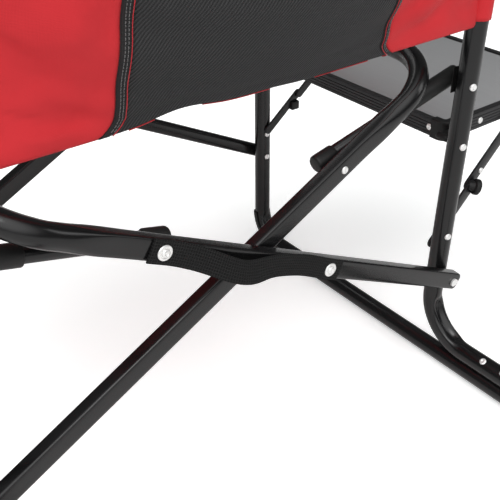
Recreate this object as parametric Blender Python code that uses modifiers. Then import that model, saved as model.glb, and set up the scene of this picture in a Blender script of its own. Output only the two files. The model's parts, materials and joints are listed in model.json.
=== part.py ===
# Folding camp chair with floor rails, a slung seat and a side table.
# Metres, +Z up, +Y is the way the sitter faces, +X (right here) the side that carries the table.
# Origin: on the floor, at the centre of the chair's plan outline. The parts are laid out about
# the point midway between the side frames, and the empty "chair" carries them to the origin.
import math

import bmesh
import bpy
from mathutils import Matrix, Vector

RIGHT, LEFT = 1, -1        # signs of x
PLAN_X, PLAN_Y = 0.12825, -0.14433   # middle of the plan outline in the layout

# ---- side frames ----
TUBE_R = 0.0125            # frame tubes
GAP = 0.0004               # running clearance
GLIDE_H = 0.003            # glides under the rails
HALF_WIDTH = 0.318         # half the distance between the side frames
FRONT_LEG_Y = 0.193
REAR_LEG_Y = {"right": -0.1885, "left": -0.1688}   # at floor level
LEAN = math.tan(math.radians(1.25))      # rear legs, backwards
RECLINE_ANGLE = math.radians(14.0)       # back posts
RECLINE = math.tan(RECLINE_ANGLE)
RAIL_Z = GLIDE_H + TUBE_R + GAP
KNEE_Z = 0.540             # where the back posts start to recline
POST_TOP_Z = 0.915
ARM_Z = 0.655              # axis of the arm tubes
TAIL_START_Y = -0.345      # where the rails start to sweep up
TAIL_END_Y = -0.500
TAIL_R = 0.450             # radius of the sweep

# ---- seat frames: A pivots on the right side frame, B on the left one ----
SEAT_TILT = 0.0709         # rise per metre towards the front
SLOPE = 0.514              # rise per metre of the crossed tubes
FLAT_HALF_H, FLAT_HALF_T = 0.0120, 0.0083   # section of the flat-sided crossed tubes
A_REAR_Y, A_FRONT_Y = -0.2132, 0.2146       # planes of the crossed tubes
B_REAR_Y, B_FRONT_Y = -0.1948, 0.1714
A_RAIL_X, B_RAIL_X = -0.278, 0.270          # seat rails
PIVOT_Z = 0.1413           # lower pivots, at the plane A_REAR_Y
CROSS_X = 0.0              # crossing, midway between the lower pivots
CROSS_Z = PIVOT_Z + HALF_WIDTH * SLOPE

# ---- links between the crossed tubes and the legs ----
LINK_R = 0.0085
LINK_GAP = 0.0055          # between a link and the crossed tube beside it
LINK_OFFSET = FLAT_HALF_T + LINK_GAP + LINK_R
RIGHT_LINK_LOW_X, LEFT_LINK_LOW_X = 0.122, -0.116
RIGHT_LINK_TOP_X, RIGHT_LINK_TOP_Z = HALF_WIDTH, 0.415
LEFT_LINK_TOP_X, LEFT_LINK_TOP_Z = -0.292, 0.410

# ---- side table ----
TABLE_X0, TABLE_X1 = 0.334, 0.612
TABLE_Y0, TABLE_Y1 = -0.163, 0.166
TABLE_Z = 0.337            # hinge axis
# End: foot on the leg, knee and top on the table as (x, z); y of the lower and upper parts
STRUTS = {
    "rear": ((HALF_WIDTH, 0.1768), (0.3885, 0.2449), (0.4678, 0.3215), -0.1752, -0.1708),
    "front": ((HALF_WIDTH, 0.2205), (0.3786, 0.2696), (0.4427, 0.3215), 0.1776, 0.1732),
}

# ---- one empty per moving body, on its joint's axis ----
PIVOT = {
    "root": (0, 0, 0),
    "seat_frame_a": (HALF_WIDTH, A_REAR_Y, PIVOT_Z),
    "seat_frame_b": (CROSS_X, A_REAR_Y, CROSS_Z),
    "left_frame": (-HALF_WIDTH, A_REAR_Y, PIVOT_Z),
    "right_links": (RIGHT_LINK_TOP_X, A_REAR_Y, RIGHT_LINK_TOP_Z),
    "left_links": (LEFT_LINK_TOP_X, A_REAR_Y, LEFT_LINK_TOP_Z),
    "table": (HALF_WIDTH, 0.0, TABLE_Z),
}
for end, (foot, knee, top, y_lower, y_upper) in STRUTS.items():
    PIVOT["strut_lower_" + end] = (foot[0], 0.0, foot[1])
    PIVOT["strut_upper_" + end] = (top[0], 0.0, top[1])

LOOKS = {
    "tube": dict(color=(0.018, 0.018, 0.019), roughness=0.34, metallic=0.25),
    "plastic": dict(color=(0.012, 0.012, 0.012), roughness=0.5, metallic=0.0),
    "steel": dict(color=(0.75, 0.75, 0.75), roughness=0.25, metallic=1.0),
    "flat": dict(color=(0.02, 0.02, 0.021), roughness=0.4, metallic=0.3),
    "edge": dict(color=(0.03, 0.03, 0.032), roughness=0.38, metallic=0.6),
    "top": dict(color=(0.30, 0.30, 0.31), roughness=0.5, metallic=0.2),
    "web": dict(color=(0.01, 0.01, 0.01), roughness=0.85, metallic=0.0),
    "red": dict(color=(0.55, 0.03, 0.035), roughness=0.6, metallic=0.0),
}

# ---- a clean scene ----
for ob in list(bpy.data.objects):
    bpy.data.objects.remove(ob, do_unlink=True)
parts = bpy.data.collections.new("camp_chair")
cutters = bpy.data.collections.new("cutters")
for collection in (parts, cutters):
    bpy.context.scene.collection.children.link(collection)

chair = bpy.data.objects.new("chair", None)
chair.location = (-PLAN_X, -PLAN_Y, 0)
parts.objects.link(chair)
bodies = {}
for body, pivot in PIVOT.items():
    empty = bpy.data.objects.new("body_" + body, None)
    empty.location = pivot
    empty.empty_display_size = 0.03
    empty.parent = chair
    parts.objects.link(empty)
    bodies[body] = empty


# ---- layout lines ----
def tilt(y):
    """Rise of the seat frames at y, from the plane A_REAR_Y."""
    return SEAT_TILT * (y - A_REAR_Y)


def crossed_z(pivot_side, x, y):
    """Axis height of the crossed tubes whose lower pivots are on the given side."""
    return PIVOT_Z + (HALF_WIDTH - pivot_side * x) * SLOPE + tilt(y)


def rear_leg_y(side, z):
    """Axis of a rear leg and its back post at a height."""
    return (REAR_LEG_Y[side] - min(z, KNEE_Z) * LEAN
            - max(0.0, z - KNEE_Z) * RECLINE)


def tail_z(y):
    """Axis height of the floor rail's upswept tail."""
    run = TAIL_START_Y - y
    return RAIL_Z + TAIL_R - math.sqrt(TAIL_R * TAIL_R - run * run)


def around(middle, half):
    return middle - half, middle + half


def round_path(corners, radii, steps=6):
    """A poly line through corners, each inner corner rounded by an arc of its radius."""
    corners = [Vector(corner) for corner in corners]
    points = [corners[0]]
    for before, corner, after, radius in zip(corners, corners[1:], corners[2:], radii):
        back = (before - corner).normalized()
        ahead = (after - corner).normalized()
        half = 0.5 * back.angle(ahead)
        setback = radius / math.tan(half)
        centre = corner + (back + ahead).normalized() * (radius / math.sin(half))
        start = corner + back * setback - centre
        stop = corner + ahead * setback - centre
        sweep = start.angle(stop)
        for k in range(steps + 1):
            t = k / steps
            arm = start * math.sin((1 - t) * sweep) + stop * math.sin(t * sweep)
            points.append(centre + arm / math.sin(sweep))
    points.append(corners[-1])
    return points


# ---- makers of solids; they take layout places and hang the piece on its body ----
def material(name, color, roughness, metallic):
    mat = bpy.data.materials.new(name)
    mat.use_nodes = True
    inputs = mat.node_tree.nodes["Principled BSDF"].inputs
    inputs["Base Color"].default_value = (*color, 1.0)
    inputs["Roughness"].default_value = roughness
    inputs["Metallic"].default_value = metallic
    return mat


def place(ob, name, body, location, collection=parts):
    for current in list(ob.users_collection):
        current.objects.unlink(ob)
    collection.objects.link(ob)
    ob.name = name
    ob.parent = bodies[body]
    ob.location = Vector(location) - Vector(PIVOT[body])


def finish(ob, name, body, look, location):
    ob.data.materials.append(material(name, **LOOKS[look]))
    place(ob, name, body, location)


def smooth(ob, sharp_degrees):
    ob.data.shade_smooth()
    ob.data.set_sharp_from_angle(angle=math.radians(sharp_degrees))


def cube(size):
    bpy.ops.mesh.primitive_cube_add(size=1, location=(0, 0, 0))
    ob = bpy.context.active_object
    for vert in ob.data.vertices:
        vert.co = Vector([c * s for c, s in zip(vert.co, size)])
    return ob


def box(name, body, look, x, y, z, bevel=0.0, segments=2, turn=None):
    """A block between two values on each axis; turn is (axis, angle, point to turn about)."""
    ob = cube([abs(b - a) for a, b in (x, y, z)])
    middle = Vector([(a + b) / 2 for a, b in (x, y, z)])
    if bevel:
        edge = ob.modifiers.new("edge", "BEVEL")
        edge.width = bevel
        edge.segments = segments
    if turn:
        axis, angle, point = turn
        rotation = Matrix.Rotation(angle, 3, axis)
        ob.rotation_euler = rotation.to_euler()
        middle = Vector(point) + rotation @ (middle - Vector(point))
    finish(ob, name, body, look, middle)


def disc(name, body, look, radius, depth, centre, turn=math.pi / 2, sides=20):
    """A cylinder on the z axis, turned about x; the default turn lays it along y."""
    bpy.ops.mesh.primitive_cylinder_add(vertices=sides, radius=radius, depth=depth)
    ob = bpy.context.active_object
    ob.rotation_euler = (turn, 0, 0)
    smooth(ob, sharp_degrees=35)
    finish(ob, name, body, look, centre)


def tube(name, body, points, radius=TUBE_R):
    """A round tube along a path."""
    curve = bpy.data.curves.new(name, "CURVE")
    curve.dimensions = "3D"
    curve.bevel_depth = radius
    curve.bevel_resolution = 3
    curve.use_fill_caps = True
    spline = curve.splines.new("POLY")
    spline.points.add(len(points) - 1)
    spline.use_smooth = True
    origin = Vector(PIVOT[body])
    for spline_point, point in zip(spline.points, points):
        spline_point.co = (*(Vector(point) - origin), 1.0)
    finish(bpy.data.objects.new(name, curve), name, body, "tube", origin)


def section(flatness):
    """Half height, half thickness and superellipse power, from round (0) to flat-sided (1)."""
    t = max(0.0, min(1.0, flatness))
    t = t * t * (3 - 2 * t)
    return TUBE_R + (FLAT_HALF_H - TUBE_R) * t, TUBE_R + (FLAT_HALF_T - TUBE_R) * t, 2.0 + 0.8 * t


def lofted_tube(name, body, stations, sides=16):
    """A tube whose section changes along its path.

    Each station is (point, direction the flats face, flatness)."""
    origin = Vector(PIVOT[body])
    points = [point for point, facing, flatness in stations]
    last = len(points) - 1
    verts, faces = [], []
    for i, (point, facing, flatness) in enumerate(stations):
        along = (points[min(i + 1, last)] - points[max(i - 1, 0)]).normalized()
        facing = facing.normalized()
        facing = (facing - along * facing.dot(along)).normalized()
        upright = along.cross(facing)
        half_h, half_t, power = section(flatness)
        for k in range(sides):
            angle = 2 * math.pi * k / sides
            c, s = math.cos(angle), math.sin(angle)
            verts.append(point - origin
                         + upright * (half_h * math.copysign(abs(s) ** (2 / power), s))
                         + facing * (half_t * math.copysign(abs(c) ** (2 / power), c)))
    for i in range(last):
        for k in range(sides):
            a, b = i * sides + k, i * sides + (k + 1) % sides
            faces.append((a, b, b + sides, a + sides))
    faces.append(tuple(range(sides))[::-1])
    faces.append(tuple(range(last * sides, (last + 1) * sides)))

    mesh = bpy.data.meshes.new(name)
    mesh.from_pydata([tuple(vert) for vert in verts], [], faces)
    mesh.update()
    bm = bmesh.new()
    bm.from_mesh(mesh)
    bmesh.ops.recalc_face_normals(bm, faces=bm.faces)
    bm.to_mesh(mesh)
    bm.free()
    ob = bpy.data.objects.new(name, mesh)
    smooth(ob, sharp_degrees=50)
    finish(ob, name, body, "tube", origin)


# ---- side frames: a front leg that turns into the floor rail, a rear leg that lies on it ----
FRONT_BEND_R = 0.050
FOOT_END_Y = -0.340                     # rear end of the rear leg's foot
FOOT_BEND_R, KNEE_BEND_R = 0.068, 0.120
PLUG_R, PLUG_DEPTH = 0.0138, 0.0110
PLUG_OFFSET = 0.0062                    # from the tube's end to the plug's middle
GLIDE_INNER, GLIDE_OUTER = 0.001, 0.009     # reach either side of the rail's axis
GLIDE_Y = {"rear": (-0.300, -0.180), "front": (0.060, 0.142)}


def front_leg_and_rail(side, x, body):
    """Arm tube, front leg, floor rail and upswept tail in one tube."""
    points = round_path([(x, -0.150, ARM_Z), (x, FRONT_LEG_Y, ARM_Z), (x, FRONT_LEG_Y, RAIL_Z),
                         (x, TAIL_START_Y, RAIL_Z)], [FRONT_BEND_R, FRONT_BEND_R])
    steps = 6
    for k in range(1, steps + 1):
        y = TAIL_START_Y + (TAIL_END_Y - TAIL_START_Y) / steps * k
        points.append(Vector((x, y, tail_z(y))))
    tube("front_leg_rail_" + side, body, points)


def rear_leg_and_post(side, x, body):
    foot_z = RAIL_Z + 2 * TUBE_R + GAP
    corners = [(x, FOOT_END_Y, foot_z)]
    corners += [(x, rear_leg_y(side, z), z) for z in (foot_z, KNEE_Z, POST_TOP_Z)]
    tube("rear_leg_post_" + side, body,
         round_path(corners, [FOOT_BEND_R, KNEE_BEND_R], steps=9))


def end_plug(name, body, tube_end, turn):
    """A plug on a tube's end; turn is the tube's angle from upright, towards the rear."""
    outward = Vector((0, -math.sin(turn), math.cos(turn)))
    disc(name, body, "plastic", PLUG_R, PLUG_DEPTH,
         Vector(tube_end) + outward * PLUG_OFFSET, turn)


def side_frame(side, outward, body):
    x = outward * HALF_WIDTH
    front_leg_and_rail(side, x, body)
    rear_leg_and_post(side, x, body)

    # a plate on the outer side ties the arm tube to the back post
    plate_x = x + outward * (TUBE_R + GAP)
    box("arm_plate_" + side, body, "flat", x=(plate_x, plate_x + outward * 0.003),
        y=(-0.245, -0.115), z=around(ARM_Z, 0.010), bevel=0.0008)
    arm_top = ARM_Z + TUBE_R + GAP
    box("armrest_" + side, body, "plastic", x=(x - outward * 0.0095, x + outward * 0.0375),
        y=(-0.130, 0.185), z=(arm_top, arm_top + 0.022), bevel=0.008, segments=3)

    for end, span in GLIDE_Y.items():
        box(f"{end}_glide_{side}", body, "plastic",
            x=(x - outward * GLIDE_INNER, x + outward * GLIDE_OUTER), y=span, z=(0.0, GLIDE_H),
            bevel=0.0008)
    tail_rise = math.asin((TAIL_START_Y - TAIL_END_Y) / TAIL_R)
    end_plug("tail_plug_" + side, body, (x, TAIL_END_Y, tail_z(TAIL_END_Y)),
             math.pi / 2 - tail_rise)
    end_plug("post_cap_" + side, body, (x, rear_leg_y(side, POST_TOP_Z), POST_TOP_Z),
             RECLINE_ANGLE)


# ---- seat frames: each is one tube, up to the seat rail, along it and down again ----
SEAT_BEND_R = 0.060
PIVOT_OVERHANG = 0.011      # tube ends beyond the lower pivots
FLATTEN_LENGTH = 0.055      # over which the section changes from round to flat-sided
SPACER_R = 0.0085
BOLT_R, BOLT_HALF_DEPTH = 0.0055, 0.0012


def seat_tube(name, side, rail_x, rear_y, front_y, body):
    """A flat-sided cross tube, a round seat rail and another flat-sided cross tube."""
    end_x = side * (HALF_WIDTH + PIVOT_OVERHANG)
    corners = [(x, y, crossed_z(side, x, y)) for x, y in
               ((end_x, rear_y), (rail_x, rear_y), (rail_x, front_y), (end_x, front_y))]
    core = round_path(corners, [SEAT_BEND_R, SEAT_BEND_R], steps=8)
    rail_direction = Vector((0, 1, SEAT_TILT)).normalized()
    seat_normal = Vector((side, 0, -SLOPE)).normalized().cross(rail_direction)

    def straight(start, stop, shares):
        """Extra rings, so that the section can change before the bend."""
        for share in shares:
            point = start.lerp(stop, share)
            flatness = (abs(point.x - rail_x) - SEAT_BEND_R) / FLATTEN_LENGTH
            stations.append((point, Vector((0, 1, 0)), flatness))

    stations = []
    straight(core[0], core[1], (0.0, 0.5, 0.80, 0.86, 0.93))
    for point, following in zip(core[1:-1], core[2:]):
        along = (following - point).normalized()
        stations.append((point, along.cross(seat_normal), 0.0))
    straight(core[-2], core[-1], (0.07, 0.14, 0.20, 0.5, 1.0))

    # keep the flats' direction from flipping round the bends
    for i in range(1, len(stations)):
        point, facing, flatness = stations[i]
        if facing.dot(stations[i - 1][1]) < 0:
            stations[i] = (point, -facing, flatness)
    lofted_tube(name, body, stations)


def cross_spacer(end, y0, y1):
    """Fills the space between the crossed tubes, on the crossing's axis."""
    y = (y0 + y1) / 2
    disc("cross_spacer_" + end, "seat_frame_a", "plastic", SPACER_R, y1 - y0 - 2 * GAP,
         (CROSS_X, y, CROSS_Z + tilt(y)))


def pivot_bolt(frame, side, end, tube_y, facing):
    """A lower pivot screw on the face of a tube end that looks towards facing, a sign of y."""
    y = tube_y + facing * (FLAT_HALF_T + BOLT_HALF_DEPTH + GAP)
    x = side * HALF_WIDTH
    disc(f"pivot_bolt_{frame}_{end}", "seat_frame_" + frame, "steel", BOLT_R,
         2 * BOLT_HALF_DEPTH, (x, y, crossed_z(side, x, y)), sides=16)


def seat_frames():
    seat_tube("seat_tube_a", RIGHT, A_RAIL_X, A_REAR_Y, A_FRONT_Y, "seat_frame_a")
    seat_tube("seat_tube_b", LEFT, B_RAIL_X, B_REAR_Y, B_FRONT_Y, "seat_frame_b")
    cross_spacer("rear", A_REAR_Y + FLAT_HALF_T, B_REAR_Y - FLAT_HALF_T)
    cross_spacer("front", B_FRONT_Y + FLAT_HALF_T, A_FRONT_Y - FLAT_HALF_T)
    pivot_bolt("a", RIGHT, "rear", A_REAR_Y, facing=-1)
    pivot_bolt("a", RIGHT, "front", A_FRONT_Y, facing=1)
    # both tube ends of frame B are behind the left legs
    pivot_bolt("b", LEFT, "rear", B_REAR_Y, facing=-1)
    pivot_bolt("b", LEFT, "front", B_FRONT_Y, facing=-1)


# ---- links; inward is the sign of y towards the middle of the chair ----
def link(name, body, low, top, low_overhang, top_overhang):
    """A tube between two pivots, running a little past each."""
    low, top = Vector(low), Vector(top)
    along = (top - low).normalized()
    tube(name, body, [low - along * low_overhang, top + along * top_overhang], LINK_R)


def right_link(end, crossed_y, inward):
    """A link from frame B, and its block on the right leg."""
    y = crossed_y + inward * LINK_OFFSET
    x, z = RIGHT_LINK_TOP_X, RIGHT_LINK_TOP_Z + tilt(y)
    low_x = RIGHT_LINK_LOW_X
    link("link_right_" + end, "right_links", (low_x, y, crossed_z(LEFT, low_x, y)), (x, y, z),
         low_overhang=0.016, top_overhang=0.010)
    leg_y = rear_leg_y("right", z) if end == "rear" else FRONT_LEG_Y
    leg_gap, link_gap = GAP + 0.0004, 0.0022
    box("link_bracket_right_" + end, "root", "plastic", x=around(x, 0.011),
        y=(leg_y + inward * (TUBE_R + leg_gap), y - inward * (LINK_R + link_gap)),
        z=around(z, 0.016), bevel=0.0003)


def left_link(end, crossed_y, inward):
    """A link from frame A, and its plate beside the left side frame."""
    y = crossed_y + inward * LINK_OFFSET
    x, z = LEFT_LINK_TOP_X, LEFT_LINK_TOP_Z + tilt(y)
    low_x = LEFT_LINK_LOW_X
    link("link_left_" + end, "left_links", (low_x, y, crossed_z(RIGHT, low_x, y)), (x, y, z),
         low_overhang=0.014, top_overhang=0.004)
    plate_y = y + inward * (LINK_R + 0.0040)
    box("link_bracket_left_" + end, "left_frame", "flat",
        x=(-HALF_WIDTH + TUBE_R + GAP, x + 0.010), y=around(plate_y, 0.0010),
        z=around(z, 0.012))


# ---- side table: an edge frame round a panel, on two hinge lugs and two folding struts ----
EDGE_T, EDGE_H = 0.009, 0.024
EDGE_DROP = 0.004           # middle of the edge frame below the hinge axis
CUTTER_H = 0.08
LUG_Y = {"rear": (-0.1820, TABLE_Y0 - GAP), "front": (TABLE_Y1 + GAP, 0.1800)}
STRUT_HALF_T, STRUT_HALF_H = 0.0018, 0.0065
STRUT_START = 0.008         # reach of a strut part before its first joint


def table_edge_frame():
    length_x, length_y = TABLE_X1 - TABLE_X0, TABLE_Y1 - TABLE_Y0
    centre = ((TABLE_X0 + TABLE_X1) / 2, (TABLE_Y0 + TABLE_Y1) / 2, TABLE_Z - EDGE_DROP)
    frame = cube((length_x, length_y, EDGE_H))
    cutter = cube((length_x - 2 * EDGE_T, length_y - 2 * EDGE_T, CUTTER_H))
    place(cutter, "table_cutter", "table", centre, cutters)
    cutter.hide_render = True
    cutter.display_type = "WIRE"
    opening = frame.modifiers.new("opening", "BOOLEAN")
    opening.object = cutter
    opening.operation = "DIFFERENCE"
    finish(frame, "table_edge_frame", "table", "edge", centre)


def table_strut(part, end, start, stop, y, overhang):
    """A flat bar from one (x, z) joint to the next."""
    run, rise = stop[0] - start[0], stop[1] - start[1]
    x, z = start
    box(f"table_strut_{part}_{end}", f"strut_{part}_{end}", "flat",
        x=(x - STRUT_START, x + math.hypot(run, rise) + overhang),
        y=around(y, STRUT_HALF_T), z=around(z, STRUT_HALF_H), bevel=0.0006, segments=1,
        turn=("Y", -math.atan2(rise, run), (x, y, z)))


def side_table():
    table_edge_frame()
    inset = EDGE_T + GAP
    box("table_top", "table", "top", x=(TABLE_X0 + inset, TABLE_X1 - inset),
        y=(TABLE_Y0 + inset, TABLE_Y1 - inset), z=(TABLE_Z - 0.001, TABLE_Z + 0.005))
    for end, span in LUG_Y.items():
        box("table_lug_" + end, "table", "plastic", x=(HALF_WIDTH - 0.009, HALF_WIDTH + 0.040),
            y=span, z=(TABLE_Z - 0.010, TABLE_Z + 0.006), bevel=0.0015)
    for end, (foot, knee, top, y_lower, y_upper) in STRUTS.items():
        table_strut("lower", end, foot, knee, y_lower, overhang=0.008)
        table_strut("upper", end, knee, top, y_upper, overhang=0.004)


# ---- soft parts, as plain solids ----
STRAP_X0, STRAP_X1 = -0.140, 0.086
SEAT_SLING_INSET = 0.020    # from the seat rails' surfaces
SEAT_SLING_DROP = 0.004     # below the mean height of the seat rails
BACK_SLING_INSET = 0.0025   # from the back posts' surfaces
BACK_SLING_Z = 0.72         # height it is turned about


def carry_strap():
    """A strap behind frame A's rear crossed tube, along its slope."""
    z = crossed_z(RIGHT, STRAP_X0, A_REAR_Y)
    length = math.hypot(1, SLOPE) * (STRAP_X1 - STRAP_X0)
    face_y = A_REAR_Y - FLAT_HALF_T
    box("carry_strap", "seat_frame_a", "web", x=(STRAP_X0, STRAP_X0 + length),
        y=(face_y - 0.0050, face_y - 0.0020), z=around(z, 0.0125),
        turn=("Y", math.atan(SLOPE), (STRAP_X0, A_REAR_Y, z)))


def seat_sling():
    rails_z = 0.5 * (crossed_z(RIGHT, A_RAIL_X, 0.0) + crossed_z(LEFT, B_RAIL_X, 0.0))
    z = rails_z - SEAT_SLING_DROP
    inset = TUBE_R + SEAT_SLING_INSET
    box("seat_sling", "seat_frame_a", "red", x=(A_RAIL_X + inset, B_RAIL_X - inset),
        y=(-0.125, 0.140), z=around(z, 0.005), turn=("X", math.atan(SEAT_TILT), (0, 0, z)))


def back_sling():
    y, z = rear_leg_y("left", BACK_SLING_Z), BACK_SLING_Z
    box("back_sling", "root", "red", x=around(0, HALF_WIDTH - TUBE_R - BACK_SLING_INSET),
        y=(y - 0.014, y + 0.002), z=(z - 0.185, z + 0.175), turn=("X", RECLINE_ANGLE, (0, y, z)))


side_frame("right", RIGHT, "root")
side_frame("left", LEFT, "left_frame")
seat_frames()
right_link("rear", B_REAR_Y, inward=1)
right_link("front", B_FRONT_Y, inward=-1)
left_link("rear", A_REAR_Y, inward=1)
left_link("front", A_FRONT_Y, inward=-1)
side_table()
carry_strap()
seat_sling()
back_sling()
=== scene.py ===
"""A folding camp chair with a red and black back and seat, and a side table on its right.

Metres, +Z up, feet near z = 0. +X is the sitter's right, +Y is the front, and the chair is
laid out about the point midway between its legs. Two side frames of bent tube carry two seat
frames that cross under the seat, with links between the seat frames and the legs.
"""
import json
import math
import bmesh
import bpy
from mathutils import Matrix, Vector, noise


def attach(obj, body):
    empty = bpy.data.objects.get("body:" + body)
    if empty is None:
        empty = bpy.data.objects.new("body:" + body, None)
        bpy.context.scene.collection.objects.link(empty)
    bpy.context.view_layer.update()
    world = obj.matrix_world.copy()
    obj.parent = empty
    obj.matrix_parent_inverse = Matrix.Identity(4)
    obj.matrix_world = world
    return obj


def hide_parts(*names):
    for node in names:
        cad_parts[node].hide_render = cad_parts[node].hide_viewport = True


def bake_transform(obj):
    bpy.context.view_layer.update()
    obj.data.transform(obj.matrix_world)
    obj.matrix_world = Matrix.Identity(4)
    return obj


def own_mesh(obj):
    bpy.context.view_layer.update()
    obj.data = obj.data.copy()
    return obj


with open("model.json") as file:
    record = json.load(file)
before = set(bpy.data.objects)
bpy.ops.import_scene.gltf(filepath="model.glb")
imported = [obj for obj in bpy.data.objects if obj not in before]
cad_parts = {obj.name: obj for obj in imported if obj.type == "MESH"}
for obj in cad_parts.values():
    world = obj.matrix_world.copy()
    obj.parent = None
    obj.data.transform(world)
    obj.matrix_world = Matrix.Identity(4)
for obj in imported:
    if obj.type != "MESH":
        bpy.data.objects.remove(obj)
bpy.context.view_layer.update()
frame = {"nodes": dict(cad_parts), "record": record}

OFFSET = Vector((-0.12825, 0.14433, 0.0))   # from the frame's origin to the chair's layout point


# ------------------------------------------------------------------ materials
class Shader:
    """Adds nodes to a material or world. An input given a socket is linked to it."""

    def __init__(self, owner):
        owner.use_nodes = True
        self.nodes = owner.node_tree.nodes
        self.links = owner.node_tree.links
        self.surface = self.nodes.get("Principled BSDF")

    def set(self, node, inputs):
        for key, value in inputs.items():
            if isinstance(value, bpy.types.NodeSocket):
                self.links.new(value, node.inputs[key])
            else:
                node.inputs[key].default_value = value

    def add(self, kind, inputs={}, **settings):
        node = self.nodes.new("ShaderNode" + kind)
        for key, value in settings.items():
            setattr(node, key, value)
        self.set(node, inputs)
        return node

    def math(self, operation, *operands):
        return self.add("Math", dict(enumerate(operands)), operation=operation).outputs[0]

    def object_coords(self):
        return self.add("TexCoord").outputs["Object"]

    def noise(self, coords, scale, detail=2.0):
        inputs = {"Vector": coords, "Scale": scale, "Detail": detail}
        return self.add("TexNoise", inputs).outputs["Fac"]

    def bump(self, height, strength, distance=0.0003):
        node = self.add("Bump", {"Height": height, "Strength": strength, "Distance": distance})
        self.set(self.surface, {"Normal": node.outputs["Normal"]})

    def roughness(self, factor, low, high):
        node = self.add("MapRange", {"Value": factor, "To Min": low, "To Max": high})
        self.set(self.surface, {"Roughness": node.outputs["Result"]})

    def ramp(self, factor, dark, light):
        node = self.add("ValToRGB", {"Fac": factor})
        node.color_ramp.elements[0].color = (*dark, 1)
        node.color_ramp.elements[1].color = (*light, 1)
        return node

    def colour(self, factor, dark, light):
        self.set(self.surface, {"Base Color": self.ramp(factor, dark, light).outputs["Color"]})


def new_material(name):
    material = bpy.data.materials.new(name)
    return material, Shader(material)


def times(colour, factor):
    return [c * factor for c in colour]


def grey(value):
    return (value, value, value)


def powder_coat(name, base, rough):
    """Satin black powder coat: a fine orange-peel bump and a little dust in the roughness."""
    material, shader = new_material(name)
    coords = shader.object_coords()
    peel = shader.noise(coords, scale=900, detail=3)
    dust = shader.noise(coords, scale=18, detail=6)
    shader.bump(peel, strength=0.10)
    shader.roughness(dust, low=rough - 0.05, high=rough + 0.09)
    shader.colour(dust, dark=times(base, 0.8), light=times(base, 1.35))
    shader.set(shader.surface, {"Metallic": 0.0, "Specular IOR Level": 0.36,
                                "Coat Weight": 0.06, "Coat Roughness": 0.12})
    return material


def moulded(name, base, rough):
    """Black moulded plastic with a fine spark-eroded grain."""
    material, shader = new_material(name)
    coords = shader.object_coords()
    grain = shader.add("TexVoronoi", {"Vector": coords, "Scale": 420}).outputs["Distance"]
    patches = shader.noise(coords, scale=30)
    shader.bump(grain, strength=0.25)
    shader.roughness(patches, low=rough - 0.07, high=rough + 0.1)
    shader.colour(patches, dark=times(base, 0.8), light=times(base, 1.3))
    shader.set(shader.surface, {"Specular IOR Level": 0.28})
    return material


def bright_steel(name):
    """Zinc-plated rivet heads: bright, with dull spots."""
    material, shader = new_material(name)
    shader.set(shader.surface, {"Base Color": (0.86, 0.86, 0.85, 1), "Metallic": 0.70})
    spots = shader.noise(shader.object_coords(), scale=260, detail=5)
    shader.roughness(spots, low=0.22, high=0.5)
    shader.bump(spots, strength=0.25)
    return material


def weave(name, dark, light, pitch, rough, strength, diagonal=False, sheen=0.3, mottle_and_fold_shade=0.25,
          depth=0.0004, spec=0.16, patch=9):
    """Woven cloth: two crossed waves over the UV map make the threads, noise varies the colour.

    pitch is the thread spacing, strength and depth the bump, blotch and patch the amount
    and scale of the colour noise. The noise is random tone; on the red nylon it is strong
    enough to paint the shade of soft folds as well.
    """
    material, shader = new_material(name)
    mapping = shader.add("Mapping", {"Vector": shader.add("UVMap").outputs["UV"]})
    if diagonal:
        mapping.inputs["Rotation"].default_value = (0, 0, math.radians(38))

    def bands(direction, spacing):
        # a wave scale of 0.31416 / spacing gives one band per spacing
        inputs = {"Scale": 0.31416 / spacing, "Distortion": 0.15,
                  "Vector": mapping.outputs["Vector"]}
        return shader.add("TexWave", inputs, wave_type="BANDS", bands_direction=direction,
                          wave_profile="SIN").outputs["Fac"]

    across = bands("X", pitch)
    along = bands("Y", pitch * 0.45 if diagonal else pitch)
    if diagonal:    # strong ribs one way, fine faint threads the other
        faint = shader.math("MULTIPLY", along, 0.25)
        threads = shader.math("MULTIPLY_ADD", across, 1.0, faint)
    else:
        threads = shader.math("MAXIMUM", across, along)
    patches = shader.noise(shader.object_coords(), scale=patch, detail=5)
    thread_share = shader.math("MULTIPLY", threads, 0.7)
    # colour noise: random tone, and on the red nylon also painted shade of soft folds
    shader.colour(shader.math("MULTIPLY_ADD", patches, mottle_and_fold_shade, thread_share), dark, light)
    shader.bump(threads, strength, depth)
    shader.set(shader.surface, {"Roughness": rough, "Specular IOR Level": spec,
                                "Sheen Weight": sheen, "Sheen Roughness": 0.4})
    return material


def brushed(name, base, rough, metal):
    """Brushed metal, its streaks running along y."""
    material, shader = new_material(name)
    mapping = shader.add("Mapping", {"Scale": (900, 12, 900), "Vector": shader.object_coords()})
    streaks = shader.noise(mapping.outputs["Vector"], scale=1, detail=4)
    shader.colour(streaks, dark=times(base, 0.85), light=times(base, 1.1))
    shader.roughness(streaks, low=rough - 0.06, high=rough + 0.08)
    shader.set(shader.surface, {"Metallic": metal})
    return material


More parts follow.
